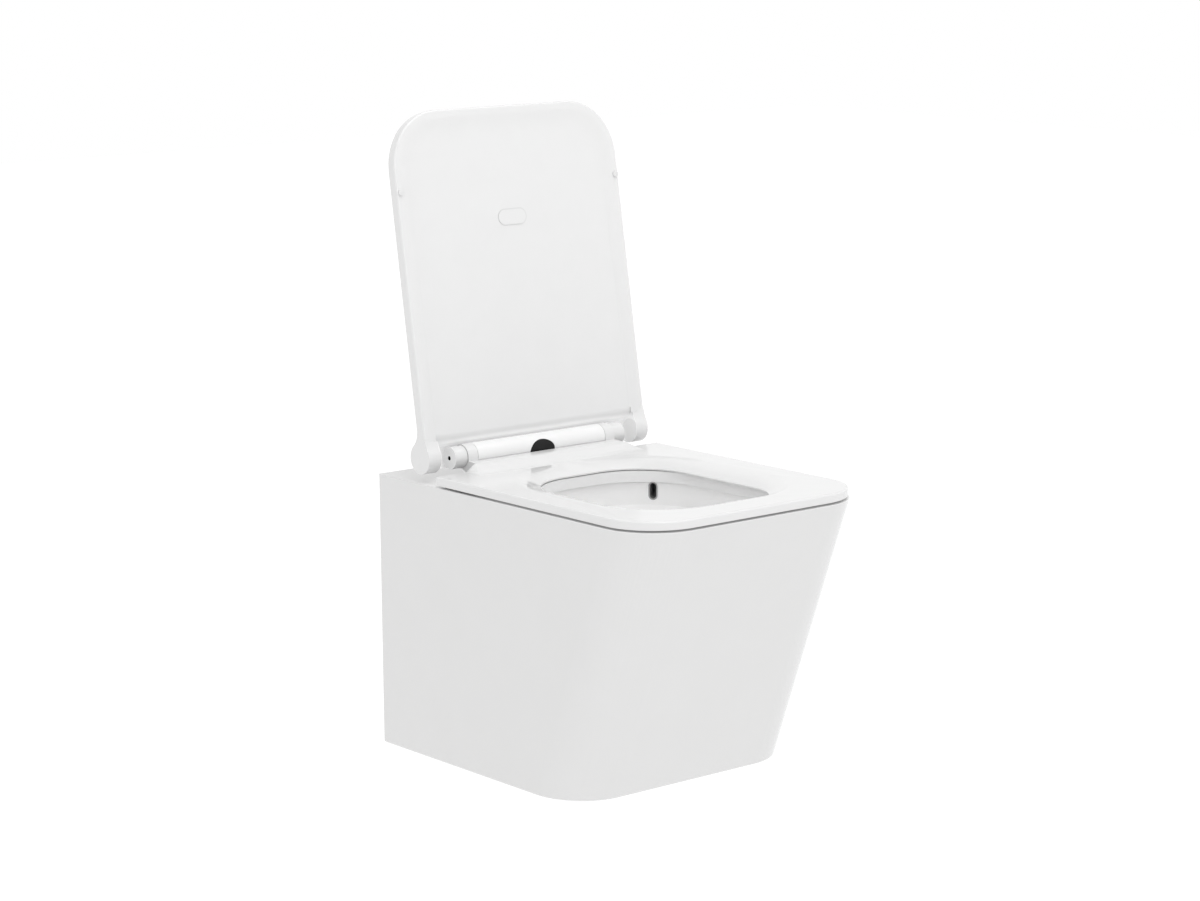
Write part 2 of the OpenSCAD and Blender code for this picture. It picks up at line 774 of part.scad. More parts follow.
module plain_bush(x0, x1) {
    color("ivory") difference() {
        rod_x(x0, x1, shaft_r + bush_t);
        rod_x(x0 - 1, x1 + 1, shaft_r + run_gap);
    }
}

module lug_bush() { translate([0, axis_y, axis_z]) mirror([1, 0, 0]) plain_bush(lug_in, lug_out); }
module knuckle_bush() { translate([0, axis_y, axis_z]) plain_bush(knuckle_in, knuckle_out - 4); }

module spring_clips() {
    color("silver") for (m = [0, 1]) mirror([m, 0, 0]) translate([0, axis_y, clip_z]) {
        for (s = [-1, 1]) rod_x(clip_in, clip_bend + eps, clip_wire_r, s * leg_y, 0);
        translate([clip_bend, 0, 0]) rotate([0, 0, -90])
            rotate_extrude(angle = 180) translate([leg_y, 0]) circle(clip_wire_r, $fn = 24);
    }
}

module release_button() {
    color([0.05, 0.05, 0.05]) difference() {
        union() {
            intersection() {
                button_prism(0, axis_y - bar_r - 1, axis_y + wedge_root);
                translate([0, axis_y, axis_z]) rod_x(-bar_half, bar_half, bar_r);
            }
            translate([0, axis_y, clip_z - 3.5]) linear_extrude(7) polygon([[-wedge_half, wedge_root - 1],
                [wedge_half, wedge_root - 1], [wedge_half, wedge_root],
                [wedge_half - wedge_tip + wedge_root, wedge_tip],
                [-wedge_half + wedge_tip - wedge_root, wedge_tip], [-wedge_half, wedge_root]]);
        }
    }
}

module button_spring() {
    color("silver") difference() {
        rod_y(axis_y + wedge_root + 0.1, axis_y - 0.1, 2.6, 0, axis_z + 5);
        rod_y(axis_y + wedge_root - 1, axis_y + 1, 1.9, 0, axis_z + 5);
    }
}

// Slider whose 45 degree end follows the button's wedge
module slider() {
    gap = fit * sqrt(2);
    half = 7;
    nose = post_x - 8.5;
    inner = wedge_half - (wedge_tip - wedge_root) + gap;
    color("lightgray") translate([0, axis_y, clip_z - slider_h / 2]) linear_extrude(slider_h) polygon([
        [inner + wedge_tip + half, -half], [nose - 5, -half], [nose - 4, -6], [nose, -2.4],
        [nose, 2.4], [nose - 4, 6], [nose - 5, half], [inner, half], [inner, wedge_tip]]);
}

module slider_right() { slider(); }
module slider_left() { mirror([1, 0, 0]) slider(); }

// Side profile of the closed lid, hinge axis at the origin: y = 0 is the axis, -y is the front
module lid_profile() {
    a0 = atan2(lid_top + roll_fillet - roll_z, lid_fillet_u - roll_u);
    a1 = atan2(-under_n - under_fillet - roll_z, under_fillet_u - roll_u);
    mirror([1, 0]) polygon(concat(
        [[lid_l + 1, lid_top]],
        arc([lid_fillet_u, lid_top + roll_fillet], roll_fillet, 270, 180 + a0, 12),
        arc([roll_u, roll_z], roll_r, a0, 360 + a1, 48),
        arc([under_fillet_u, -under_n - under_fillet], under_fillet, 180 + a1, 90, 8),
        [[lid_l + 1, -under_n]]));
}

// Side profile of the cove round the hinge bar: the dished face turns into it softly
module lid_hollow(r) {
    c = [-sqrt(pow(r + lid_soft, 2) - pow(lid_soft + lid_floor, 2)), lid_floor + lid_soft];
    circle(r);
    polygon(concat(arc(c, lid_soft, 270, 360 + atan2(-c[1], -c[0]), 10), [[0, 0], [0, -60], [c[0], -60]]));
    translate([c[0], -60]) square([60, 60 + lid_floor]);
    lid_roll_end();
}

// The roll ends above the base plates when the lid is raised
module lid_roll_end() {
    rotate(-lid_turn) translate([0, -60]) square([60, 60 - (sweep_r + 6) * cos(52)]);
}

module lid_closed() {
    half = lid_w / 2;
    dish_back = -24;
    difference() {
        intersection() {
            across(-half - 1, half + 1) lid_profile();
            translate([0, 0, -60]) linear_extrude(120) u_plan(half, -lid_l, lid_r, 60);
        }
        // Dished underside, open towards the hinge
        hull() {
            translate([0, 0, -under_n - 1]) linear_extrude(1)
                u_plan(half - lid_rim, -lid_l + lid_rim, lid_r - lid_rim, dish_back, $fn = 40);
            translate([0, 0, lid_floor - eps]) linear_extrude(eps)
                u_plan(half - lid_rim - lid_cove, -lid_l + lid_rim + lid_cove, lid_r - lid_rim - lid_cove,
                    dish_back, $fn = 40);
        }
        // One cove from cheek to cheek round the hinge bar, the seat's lugs and the knuckles
        across(-cheek_in, cheek_in) lid_hollow(cove_r);
    }
    for (m = [0, 1]) mirror([m, 0, 0]) {
        rod_x(knuckle_in, knuckle_out, knuckle_r);
        // A web in the cove carries the knuckle
        across(knuckle_in, knuckle_out - 3) translate([-web_half, 0]) square([2 * web_half, cove_r + 1]);
    }
    // Plain pill-shaped mark
    translate([0, -pill_at, lid_floor - 0.6]) linear_extrude(0.8) {
        for (s = [-1, 1]) translate([s * (pill_l - pill_w) / 2, 0]) circle(pill_w / 2);
        translate([-(pill_l - pill_w) / 2, -pill_w / 2]) square([pill_l - pill_w, pill_w]);
    }
}

module lid() {
    color("white") translate([0, axis_y, axis_z]) rotate([lid_turn, 0, 0]) difference() {
        lid_closed();
        mirror([1, 0, 0]) keyed_bore(knuckle_in - 1, knuckle_out - 4 + eps);
        rod_x(knuckle_in - 1, knuckle_out - 4 + eps, shaft_r + bush_t + run_gap);
        for (m = [0, 1]) mirror([m, 0, 0]) rod_x(knuckle_out - 5, knuckle_out + 1, pin_hole_r);
    }
}

module lid_bumpers() {
    color("whitesmoke") translate([0, axis_y, axis_z]) rotate([lid_turn, 0, 0])
        for (s = [-1, 1]) translate([s * (lid_w / 2 - lid_rim / 2), -lid_pad_at, -under_n - lid_pad_t])
            cylinder(r = 4, h = lid_pad_t);
}

// Side profile of the seat's raised back edge
module seat_ramp() {
    top = seat_z + seat_t;
    lip_z = top + lip_rise;
    drop = axis_z - lip_z;
    r = sweep_r - 0.5;
    polygon(concat(
        [[-seat_back - 32, seat_z], [-seat_back - 32, top]],
        [for (i = [1:10]) [-seat_back - 32 + i * 3.7, top + lip_rise * (1 - cos(i * 18)) / 2 * 0.97]],
        [[axis_y - r * cos(asin(drop / r)), lip_z]],
        [for (i = [0:6]) let (a = asin(drop / r) + i * 5) [axis_y - r * cos(a), axis_z - r * sin(a)]],
        [[-108, seat_z + 4], [-110, seat_z]]));
}

// Outline of the seat's opening, from its lower edge (0) to the outer edge of the sloping margin (1)
module hole_plan(t) {
    front = seat_front_y + hole_front - t * scoop_front;
    polygon(tub(hole_half + t * scoop_side, front, -hole_back + t * scoop_back,
        hole_front_r + t * (scoop_front_r - hole_front_r), hole_back_r + t * (scoop_back_r - hole_back_r)));
}

// The raised back edge fades out beside the lugs
module lip_end() {
    top = seat_z + seat_t;
    intersection() {
        across(lug_out - 1, lug_out + lip_fade) seat_ramp();
        translate([0, -seat_back - 0.5, 0]) rotate([90, 0, 0]) linear_extrude(60) polygon([
            [lug_out - 1, seat_z + 1], [lug_out + lip_fade, seat_z + 1], [lug_out + lip_fade, top - 1],
            [lug_out, top + lip_rise + 0.5], [lug_out - 1, top + lip_rise + 0.5]]);
    }
}

module seat() {
    lip_z = seat_z + seat_t + lip_rise;
    color("white") difference() {
        union() {
            difference() {
                union() {
                    translate([0, 0, seat_z]) linear_extrude(seat_t)
                        u_plan(seat_half, seat_front_y, corner_r + 2, -seat_back);
                    translate([0, 0, seat_z - hem_drop]) linear_extrude(hem_drop + 1) hole_plan(0.12);
                }
                translate([0, 0, seat_z - hem_drop - 1]) linear_extrude(hole_edge + 1 + eps) hole_plan(0);
                hull() {
                    translate([0, 0, seat_z - hem_drop + hole_edge]) linear_extrude(eps) hole_plan(0);
                    translate([0, 0, seat_z + seat_t]) linear_extrude(1) hole_plan(1);
                }
            }
            across(-lug_out, lug_out) seat_ramp();
            for (m = [0, 1]) mirror([m, 0, 0]) {
                lip_end();
                translate([0, axis_y, axis_z]) rod_x(lug_in, lug_out, bar_r);
                // Lugs stand on the seat's back edge
                across(lug_in, lug_out) polygon([
                    [axis_y, axis_z - bar_r + 1], [axis_y - bar_r, axis_z], [axis_y - bar_r, lip_z - 0.3],
                    [-112, lip_z - 0.3], [-seat_back - 1, seat_z + 1], [-109, seat_z + 2]]);
            }
        }
        // Round of the hinge bar
        translate([0, axis_y, axis_z]) rod_x(-bar_half - row_gap, bar_half + row_gap, sweep_r + 0.3);
        translate([0, axis_y, axis_z]) mirror([1, 0, 0])
            rod_x(lug_in - 1, lug_out + 1, shaft_r + bush_t + run_gap);
        translate([0, axis_y, axis_z]) keyed_bore(lug_in - 1, lug_out + 1);
    }
}

module seat_bumpers() {
    color("whitesmoke") for (x = [-1, 1], y = [-seat_back - 50, seat_front_y + 100])
        translate([x * (seat_half - 28), y, seat_z - seat_pad_t]) cylinder(r = 8, h = seat_pad_t);
}

pan_deck();
pan_back();
pan_front();
pan_side_left();
pan_side_right();
swirl_channel();
bowl();
trapway();
flush_duct();
jet_nozzle();
inlet_seal();
wall_bushes();
wall_washers();
wall_nuts();
seat_sleeves();
sleeve_nuts();
seat_screws();
screw_washers();
base_plate_left();
base_plate_right();
base_pads();
posts();
bar_cover();
bar_chassis();
lid_damper();
seat_damper();
spring_clips();
release_button();
button_spring();
slider_left();
slider_right();
lid();
lid_bumpers();
lid_shaft();
knuckle_bush();
seat();
seat_bumpers();
seat_shaft();
lug_bush();
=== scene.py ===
# %% [markdown]
# # A wall hung toilet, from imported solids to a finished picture
# The solids of this toilet were drawn in a CAD program, in metres, and packed as one model. Every piece
# already has its place and rides on the body that moves it. This lesson gives those pieces their looks:
# softened edges, glaze, moulded plastic, rubber and steel, and then a studio with the camera that took
# the photograph. We load the solids first and keep the size of their box, because looks must not change it.

# %% Load the solids
import json
import math

import bmesh
import bpy
from mathutils import Matrix, Vector


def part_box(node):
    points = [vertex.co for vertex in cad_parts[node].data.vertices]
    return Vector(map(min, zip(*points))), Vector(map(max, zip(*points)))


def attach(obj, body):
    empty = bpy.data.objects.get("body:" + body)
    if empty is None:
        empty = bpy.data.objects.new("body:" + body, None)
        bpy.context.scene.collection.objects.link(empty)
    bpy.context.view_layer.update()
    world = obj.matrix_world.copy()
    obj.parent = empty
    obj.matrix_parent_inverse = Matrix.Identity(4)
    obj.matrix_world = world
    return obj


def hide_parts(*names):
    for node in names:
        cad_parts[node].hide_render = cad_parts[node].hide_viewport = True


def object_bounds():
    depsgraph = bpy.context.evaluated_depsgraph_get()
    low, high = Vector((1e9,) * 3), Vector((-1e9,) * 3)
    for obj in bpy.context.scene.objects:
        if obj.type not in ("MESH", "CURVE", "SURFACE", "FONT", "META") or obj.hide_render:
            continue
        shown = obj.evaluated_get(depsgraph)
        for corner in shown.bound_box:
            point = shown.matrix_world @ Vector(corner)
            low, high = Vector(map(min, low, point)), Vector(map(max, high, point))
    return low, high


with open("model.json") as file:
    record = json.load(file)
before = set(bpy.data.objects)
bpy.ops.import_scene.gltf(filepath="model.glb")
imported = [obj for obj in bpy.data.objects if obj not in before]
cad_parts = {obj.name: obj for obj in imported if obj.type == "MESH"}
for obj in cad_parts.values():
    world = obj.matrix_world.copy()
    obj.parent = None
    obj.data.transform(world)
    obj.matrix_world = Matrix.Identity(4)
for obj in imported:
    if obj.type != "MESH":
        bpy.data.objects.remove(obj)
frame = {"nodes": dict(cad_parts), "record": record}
CAD_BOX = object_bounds()
BODY_OF = {node: body for body, nodes in frame["record"]["behaviour"]["bodies"].items() for node in nodes}
SLOT_OF = {row["node"]: row["material_slot"] for row in frame["record"]["subparts"]}
MM = 0.001

# %% [markdown]
# ## Writing a material as an expression
# A shader is a sheet of nodes joined by wires. Clicking it together is fine for one material, but this
# object needs a dozen, so a small class stands for a wire and lets Python's own signs add the Math nodes:
# `0.1 + 0.05 * noise` reads like the sum it is. The reflected forms make `1 - mask` work as well.

# %% A wire that can be calculated with


class Wire:
    """A shader output that can be added, taken away and multiplied."""

    def __init__(self, sheet, socket):
        self.sheet = sheet
        self.socket = socket

    def __add__(self, other):
        return self.sheet.maths("ADD", self, other)

    def __sub__(self, other):
        return self.sheet.maths("SUBTRACT", self, other)

    def __rsub__(self, other):
        return self.sheet.maths("SUBTRACT", other, self)

    def __mul__(self, other):
        return self.sheet.maths("MULTIPLY", self, other)

    __radd__ = __add__
    __rmul__ = __mul__


print("a wire adds its own Math nodes")

# %% [markdown]
# ## The sheet that the wires lie on
# A material and the world both keep their nodes in a tree, so one class serves both. Its method `node`
# makes any node: the settings come first, because some of them change which sockets there are, then the
# numbers, colours or wires of its sockets, by name or by number. The other methods are the few patterns
# that this object needs. They all start from `place`, where the point is on the object, so a pattern stays
# on its piece when the piece moves.

# %% Sheets


class Sheet:
    """The nodes of a material or of the world, round the shader that it comes with."""

    def __init__(self, owner, shader="Principled BSDF", coordinates="Object"):
        owner.use_nodes = True
        self.owner = owner
        self.tree = owner.node_tree
        self.shader = self.tree.nodes[shader]
        self.place = self.node("ShaderNodeTexCoord", output=coordinates)

    def plug(self, value, socket):
        """Puts a number, a colour or a wire on a socket."""
        if isinstance(value, Wire):
            self.tree.links.new(value.socket, socket)
        else:
            socket.default_value = value

    def node(self, kind, settings=None, output=0, **inputs):
        """Adds a node: its settings first, then the values or wires of its sockets."""
        node = self.tree.nodes.new(kind)
        for key, value in (settings or {}).items():
            setattr(node, key, value)
        for key, value in inputs.items():
            name = key.replace("_", " ")
            self.plug(value, node.inputs[int(key[1:]) if key[1:].isdigit() else name])
        return Wire(self, node.outputs[output])

    def maths(self, operation, a, b=0.0):
        return self.node("ShaderNodeMath", {"operation": operation}, n0=a, n1=b)

    def size(self, value):
        """The value without its sign."""
        return self.maths("ABSOLUTE", value)

    def reach(self, a, b):
        """The distance to the origin of the point (a, b)."""
        return self.maths("SQRT", a * a + b * b)

    def along(self, axis):
        """The place along X, Y or Z, in metres on a material."""
        return self.node("ShaderNodeSeparateXYZ", output=axis, n0=self.place)

    def rising(self, value, low, high):
        """0 below low, 1 above high, and smooth between."""
        settings = {"interpolation_type": "SMOOTHSTEP"}
        return self.node("ShaderNodeMapRange", settings, n0=value, n1=low, n2=high)

    def falling(self, value, low, high):
        """1 below low, 0 above high, and smooth between."""
        return 1 - self.rising(value, low, high)

    def noise(self, size, detail=2.0, roughness=0.5, stretch=None):
        """A cloud pattern whose lumps are about size metres across, from 0 to 1."""
        where = self.place
        if stretch:
            where = self.node("ShaderNodeMapping", n0=where, n3=stretch)
        return self.node("ShaderNodeTexNoise", Vector=where, Scale=1 / size, Detail=detail,
                         Roughness=roughness)

    def mix(self, amount, a, b):
        """From colour a to colour b."""
        return self.node("ShaderNodeMix", {"data_type": "RGBA"}, 2, n0=amount, n6=a, n7=b)

    def bump(self, height, distance):
        """A Bump node for the shader's normal: height from 0 to 1 over that distance in metres."""
        return self.node("ShaderNodeBump", Height=height, Distance=distance, Strength=1.0)

    def finish(self, **sockets):
        """Plugs the shader's own sockets and gives the material back."""
        for key, value in sockets.items():
            self.plug(value, self.shader.inputs[key.replace("_", " ")])
        return self.owner


def grey(value, warm=0.0):
    """A near-neutral colour: warm adds red and takes blue."""
    return (value * (1 + warm), value, value * (1 - warm), 1.0)


BLACK = grey(0.0)
print("grey 0.5, a little warm:", grey(0.5, 0.02))

# %% [markdown]
# ## Glaze
# A sanitary pan is fired vitreous china under white glaze. The glaze pools and thins as it melts, so a
# large flat side isn't quite flat: it carries a very shallow swell and, much finer, an orange-peel skin.
# Both go into the bump. White on white is bright where light gathers, and the open bowl gathers more of it
# than our few bounces do, so the bowl's glaze is painted a lighter white than the shell's: painted light on
# one and the same glaze.

# %% Plain glaze
# The bowl's value is painted light: the same glaze as the shell, painted lighter.
SHELL_LIGHT, BOWL_PAINTED_LIGHT = 0.67, 0.91
SKIN_DEPTH = 0.12 * MM


def glaze(name, light):
    """The sheet of a glaze, which keeps its colour and roughness for the shell to build on."""
    s = Sheet(bpy.data.materials.new(name))
    swell = s.noise(0.11, 1.0)
    peel = s.noise(0.0035, 2.0)
    cloud = s.noise(0.05, 3.0)
    s.colour = s.mix(cloud, grey(light * 0.985, 0.002), grey(light * 1.01, 0.001))
    s.rough = 0.05 + 0.06 * cloud
    s.finish(Base_Color=s.colour, Roughness=s.rough, Specular_IOR_Level=0.5,
             Normal=s.bump(0.85 * swell + 0.15 * peel, SKIN_DEPTH))
    return s


GLAZE = glaze("glaze", SHELL_LIGHT).owner
GLAZE_BOWL_PAINTED_LIGHT = glaze("glaze_bowl_painted_light", BOWL_PAINTED_LIGHT).owner
print("glaze:", len(GLAZE.node_tree.nodes), "nodes")

# %% [markdown]
# ## The shell's glaze
# The shell is one casting with one more finish and two patches of painted light on it, and each is a mask
# made from the place on the object. Where the pan meets the wall it is wiped bare before firing, so the back
# face is dull biscuit. Inside the mouth the deck's edge is painted with the bowl's lighter white, which is
# painted light, toned down a little as painted shade because it faces sideways. The seat is thin white
# plastic over the rim, and the gap there looks grey and not black. Following light through the thin plastic
# is slow, so the rim under the seat glows very faintly instead, as painted light. Each mask fades over a
# short way, since a hard step would show as a jagged line.

# %% Glaze with a bare back and painted light
MOUTH_LOW, MOUTH_HIGH = 63 * MM, 78.6 * MM
MOUTH_HALF, MOUTH_FRONT, MOUTH_BACK = 121 * MM, -469 * MM, -169 * MM
# Painted light and shade: the deck's edge in the mouth takes the bowl's lighter white, toned down for facing
# sideways.
MOUTH_PAINTED_LIGHT = BOWL_PAINTED_LIGHT * 0.85
BARE_FROM, BARE_FULL = -0.9 * MM, -0.3 * MM
RIM_FROM, RIM_FULL = 78.8 * MM, 79.2 * MM
SEAT_COVERS, SEAT_ENDS = -240 * MM, -160 * MM
# Painted light: the strength of a faint glow on the rim under the seat, which greys the gap's shade.
RIM_PAINTED_GLOW = 0.07


def shell_glaze_with_painted_light(name):
    """Glaze with a bare back, painted light and shade at the bowl's edge and a painted glow under the seat.
    """
    s = glaze(name, SHELL_LIGHT)
    across, along, upright = s.size(s.along("X")), s.along("Y"), s.along("Z")
    # The mask of painted light and shade on the deck's edge inside the mouth.
    mouth_painted_light = s.rising(upright, MOUTH_LOW - 1 * MM, MOUTH_LOW) * s.falling(upright, MOUTH_HIGH, 79.4 * MM)
    mouth_painted_light = mouth_painted_light * s.falling(across, MOUTH_HALF, MOUTH_HALF + 1 * MM)
    mouth_painted_light = mouth_painted_light * s.rising(along, MOUTH_FRONT - 1 * MM, MOUTH_FRONT)
    mouth_painted_light = mouth_painted_light * s.falling(along, MOUTH_BACK, MOUTH_BACK + 1 * MM)
    glazed = s.mix(mouth_painted_light, s.colour, grey(MOUTH_PAINTED_LIGHT))
    bare = s.rising(along, BARE_FROM, BARE_FULL)
    biscuit = s.mix(s.noise(0.0012, 3.0), grey(0.56, 0.05), grey(0.66, 0.04))
    # Painted light: a faint glow on the rim where the seat covers it.
    under_seat_painted_glow = s.rising(upright, RIM_FROM, RIM_FULL) * s.falling(along, SEAT_COVERS, SEAT_ENDS)
    return s.finish(Base_Color=s.mix(bare, glazed, biscuit), Roughness=s.rough + bare * 0.6,
                    Emission_Color=s.mix(under_seat_painted_glow, BLACK, grey(RIM_PAINTED_GLOW)), Emission_Strength=1.0)


GLAZE_SHELL_PAINTED_LIGHT = shell_glaze_with_painted_light("glaze_shell_painted_light")
print("the shell's glaze:", len(GLAZE_SHELL_PAINTED_LIGHT.node_tree.nodes), "nodes")

# %% [markdown]
# ## Moulded plastics
# Lid and seat are pressed in hard white plastic and polished by the mould. They look much like the
# glaze, a shade brighter, with a finer and more even skin. The hinge's white and grey mouldings are
# satin, with the faint flow marks that moulding leaves. Depth is the height of the skin in millimetres,
# and spread says how much the roughness follows the flow marks.

# %% Plastic


def plastic(name, light, rough, warm=0.0, peel=0.004, depth=0.03, spread=0.04, shine=0.5):
    """The sheet of a moulded plastic, which keeps its colour for the lid to build on."""
    s = Sheet(bpy.data.materials.new(name))
    flow = s.noise(0.03, 3.0, 0.6)
    skin = s.noise(peel, 2.0)
    s.colour = s.mix(flow, grey(light * 0.985, warm), grey(light * 1.015, warm))
    s.finish(Base_Color=s.colour, Roughness=rough + spread * flow, Specular_IOR_Level=shine,
             Normal=s.bump(skin, depth * MM))
    return s


SEAT_WHITE = plastic("seat_white", 0.69, 0.08).owner
HINGE_WHITE = plastic("hinge_white", 0.78, 0.14, peel=0.002).owner
BUSH_WHITE = plastic("bush_white", 0.9, 0.32, 0.01, 0.0015).owner
FRAME_GREY = plastic("frame_grey", 0.36, 0.4, 0.0, 0.0015).owner
DAMPER_GREY = plastic("damper_grey", 0.05, 0.35, 0.0, 0.0015).owner
BUTTON_BLACK = plastic("button_black", 0.006, 0.3, 0.0, 0.001, 0.02, 0.12, shine=0.25).owner
print("a plastic:", len(SEAT_WHITE.node_tree.nodes), "nodes")

# %% [markdown]
# ## The lid's plastic
# Behind the hinge bar the lid is hollow and its wall is thin, and the hollow is paler than a deep white
# groove could be. The lid's plastic glows there as painted light, standing in for light through the thin
# wall, in a ring round the hinge axis and beside the knuckles. The end of the hinge pin is painted near
# black, as painted shade for a dark hole in each knuckle. The pill-shaped mark stands up by only a fifth of
# a millimetre, which a studio light hardly shows, so a thin line of painted shade follows its outline. The
# line is the distance to a short segment, less the radius of its round ends, and it has to lean back with
# the raised lid.

# %% The lid's plastic, with painted light and shade
AXIS = Vector((0.0, -91.0, 107.0)) * MM
LEAN = math.radians(9.2)
# The second value is painted light: the strength of a glow in the shaded hollow behind the hinge bar.
LID_LIGHT, HOLLOW_PAINTED_GLOW = 0.69, 0.26
PILL_AT, PILL_HALF, PILL_R = 290 * MM, 22 * MM, 10 * MM
KNUCKLE_OUT, HOLLOW_HALF = 136 * MM, 157 * MM
# Within this radius of the axis the pin's hole is painted near black, as painted shade.
PIN_R = 2.6 * MM


def lid_plastic_with_painted_light(name):
    """Plastic with a painted glow behind the hinge, painted shade in the pins' holes and round the mark."""
    s = plastic(name, LID_LIGHT, 0.08)
    across = s.size(s.along("X"))
    back, rise = s.along("Y") - AXIS.y, s.along("Z") - AXIS.z
    near = s.reach(back, rise)

    # Painted light: a glow fills the shaded hollow, in a ring round the hinge axis and beside the knuckles.
    inside = s.falling(across, HOLLOW_HALF, HOLLOW_HALF + 1 * MM)
    behind = s.rising(near, 14.5 * MM, 16.5 * MM) * inside
    beside = s.rising(across, KNUCKLE_OUT - 0.5 * MM, KNUCKLE_OUT) * inside
    # Painted shade: a near-black disc at each end of the hinge pin, for its hole.
    pin_painted_shade = s.falling(near, PIN_R, PIN_R + 0.2 * MM) * s.falling(across, 150 * MM, 151 * MM)
    hollow_painted_glow = s.maths("MAXIMUM", behind, 0.6 * beside) * s.falling(near, 18.5 * MM, 26 * MM) * (1 - pin_painted_shade)

    # Painted shade: a thin darker line round the raised mark, standing in for the shading of its low edge.
    up = back * math.sin(LEAN) + rise * math.cos(LEAN) - PILL_AT
    deep = back * math.cos(LEAN) - rise * math.sin(LEAN)
    past_segment = s.maths("MAXIMUM", across - PILL_HALF + PILL_R, 0.0)
    outline = s.size(s.reach(past_segment, up) - PILL_R)
    line = s.falling(outline, 0.3 * MM, 1.3 * MM) * s.falling(deep, 3 * MM, 5 * MM)

    marked_with_painted_shade = s.mix(line, s.colour, grey(LID_LIGHT * 0.9))
    return s.finish(Base_Color=s.mix(pin_painted_shade, marked_with_painted_shade, grey(0.01)), Emission_Strength=1.0,
                    Emission_Color=s.mix(hollow_painted_glow, BLACK, grey(HOLLOW_PAINTED_GLOW)))


LID_WHITE_PAINTED_LIGHT = lid_plastic_with_painted_light("lid_white_painted_light")
print("the lid's plastic:", len(LID_WHITE_PAINTED_LIGHT.node_tree.nodes), "nodes")

# %% [markdown]
# ## Rubber and steel
# Rubber is dull, with a fine grain and a little dust. The screws, nuts and posts are bright steel that was
# turned or brushed. Noise that is squeezed along one axis gives the fine rings and lines of the tool.

# %% Rubber and steel
TOOL_MARKS = (1.0, 1.0, 12.0)


def rubber(name, light):
    s = Sheet(bpy.data.materials.new(name))
    grain = s.noise(0.0009, 3.0)
    dust = s.noise(0.012, 3.0)
    return s.finish(Base_Color=s.mix(dust, grey(light), grey(light * 1.25)), Roughness=0.55 + 0.15 * grain,
                    Normal=s.bump(grain, 0.05 * MM))


def steel(name, light, rough):
    s = Sheet(bpy.data.materials.new(name))
    turned = s.noise(0.004, 3.0, 0.6, TOOL_MARKS)
    stain = s.noise(0.02, 2.0)
    return s.finish(Base_Color=s.mix(stain, grey(light * 0.92), grey(light, 0.01)), Metallic=1.0,
                    Roughness=rough + 0.12 * turned, Normal=s.bump(turned, 0.01 * MM))


SOFT_WHITE = rubber("soft_white", 0.58)
RUBBER_BLACK = rubber("rubber_black", 0.02)
STEEL = steel("steel", 0.62, 0.2)
print("made", SOFT_WHITE.name, RUBBER_BLACK.name, STEEL.name)

# %% [markdown]
# ## A finish for every node
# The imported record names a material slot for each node. A table from slot to finish dresses them all,
# hidden ones too, so that a piece looks right when the hinge bar is lifted off or the model is cut open.

# %% Dress the nodes
FINISH = {
    "glaze": GLAZE,
    "seat_white": SEAT_WHITE,
    "hinge_white": HINGE_WHITE,
    "bush_white": BUSH_WHITE,
    "frame_grey": FRAME_GREY,
    "damper_grey": DAMPER_GREY,
    "button_black": BUTTON_BLACK,
    "soft_white": SOFT_WHITE,
    "rubber_black": RUBBER_BLACK,
    "steel": STEEL,
}
for node, piece in frame["nodes"].items():
    piece.data.materials.clear()
    piece.data.materials.append(FINISH[SLOT_OF[node]])
print(len(FINISH), "finishes on", len(frame["nodes"]), "nodes")

# %% [markdown]
# ## A clean copy of a solid
# A CAD solid has perfectly sharp edges, and nothing real does: the line of light along a rounded edge
# is what makes glazed china look glazed. The solid's own mesh must stay as it is, because the physics
# uses it, so we work on a copy. It arrives as loose triangles. We merge their corners and join the ones
# that lie in one plane. A flat face with a hole in it would then be one face that runs round the hole,
# which Blender can't hold, so a few cuts at x = seam are kept, through the middle of each hole.

# %% Merge and flatten


def flatten(bm, seams):
    """Joins the triangles of each flat area, but keeps an edge where a plane x = seam cuts it."""
    for seam in seams:
        bmesh.ops.bisect_plane(bm, geom=[*bm.verts, *bm.edges, *bm.faces], dist=1e-7,
                               plane_co=(seam, 0, 0), plane_no=(1, 0, 0))
    free = [edge for edge in bm.edges
            if not any(all(abs(vert.co.x - seam) < 1e-6 for vert in edge.verts) for seam in seams)]
    bmesh.ops.dissolve_limit(bm, angle_limit=math.radians(0.6), verts=bm.verts, edges=free)


def merged(node, seams=()):
    """The node's triangles as one closed bmesh, with flat areas joined."""
    bm = bmesh.new()
    bm.from_mesh(frame["nodes"][node].data)
    bmesh.ops.remove_doubles(bm, verts=bm.verts, dist=2e-6)
    bmesh.ops.dissolve_degenerate(bm, edges=bm.edges, dist=1e-6)
    flatten(bm, seams)
    return bm


button = merged("release_button")
print("the button's copy has", len(button.faces), "faces")
button.free()

# %% [markdown]
# ## Rounding its edges
# An edge is rounded where its two faces turn by more than an angle, and where its middle is at a place
# that we accept. Blender can shrink a bevel where edges lie close together, but then one short edge
# somewhere shrinks all the others, so the large outlines are bevelled without that, at chosen places.

# %% Find and bevel edges
SHARP_DEGREES = 38.0


def turning(bm, degrees, where=None):
    """The edges between faces that turn by that much or more, at places that where accepts."""
    found = []
    for edge in bm.edges:
        if len(edge.link_faces) != 2:
            continue
        middle = (edge.verts[0].co + edge.verts[1].co) / 2
        if math.degrees(edge.calc_face_angle(0.0)) >= degrees and (where is None or where(middle)):
            found.append(edge)
    return found


def bevel(bm, edges, width, segments=3, clamp=False):
    bmesh.ops.bevel(bm, geom=edges, offset=width, offset_type="OFFSET", segments=segments, profile=0.5,
                    affect="EDGES", clamp_overlap=clamp, material=-1)


print("an edge is sharp from", SHARP_DEGREES, "degrees")

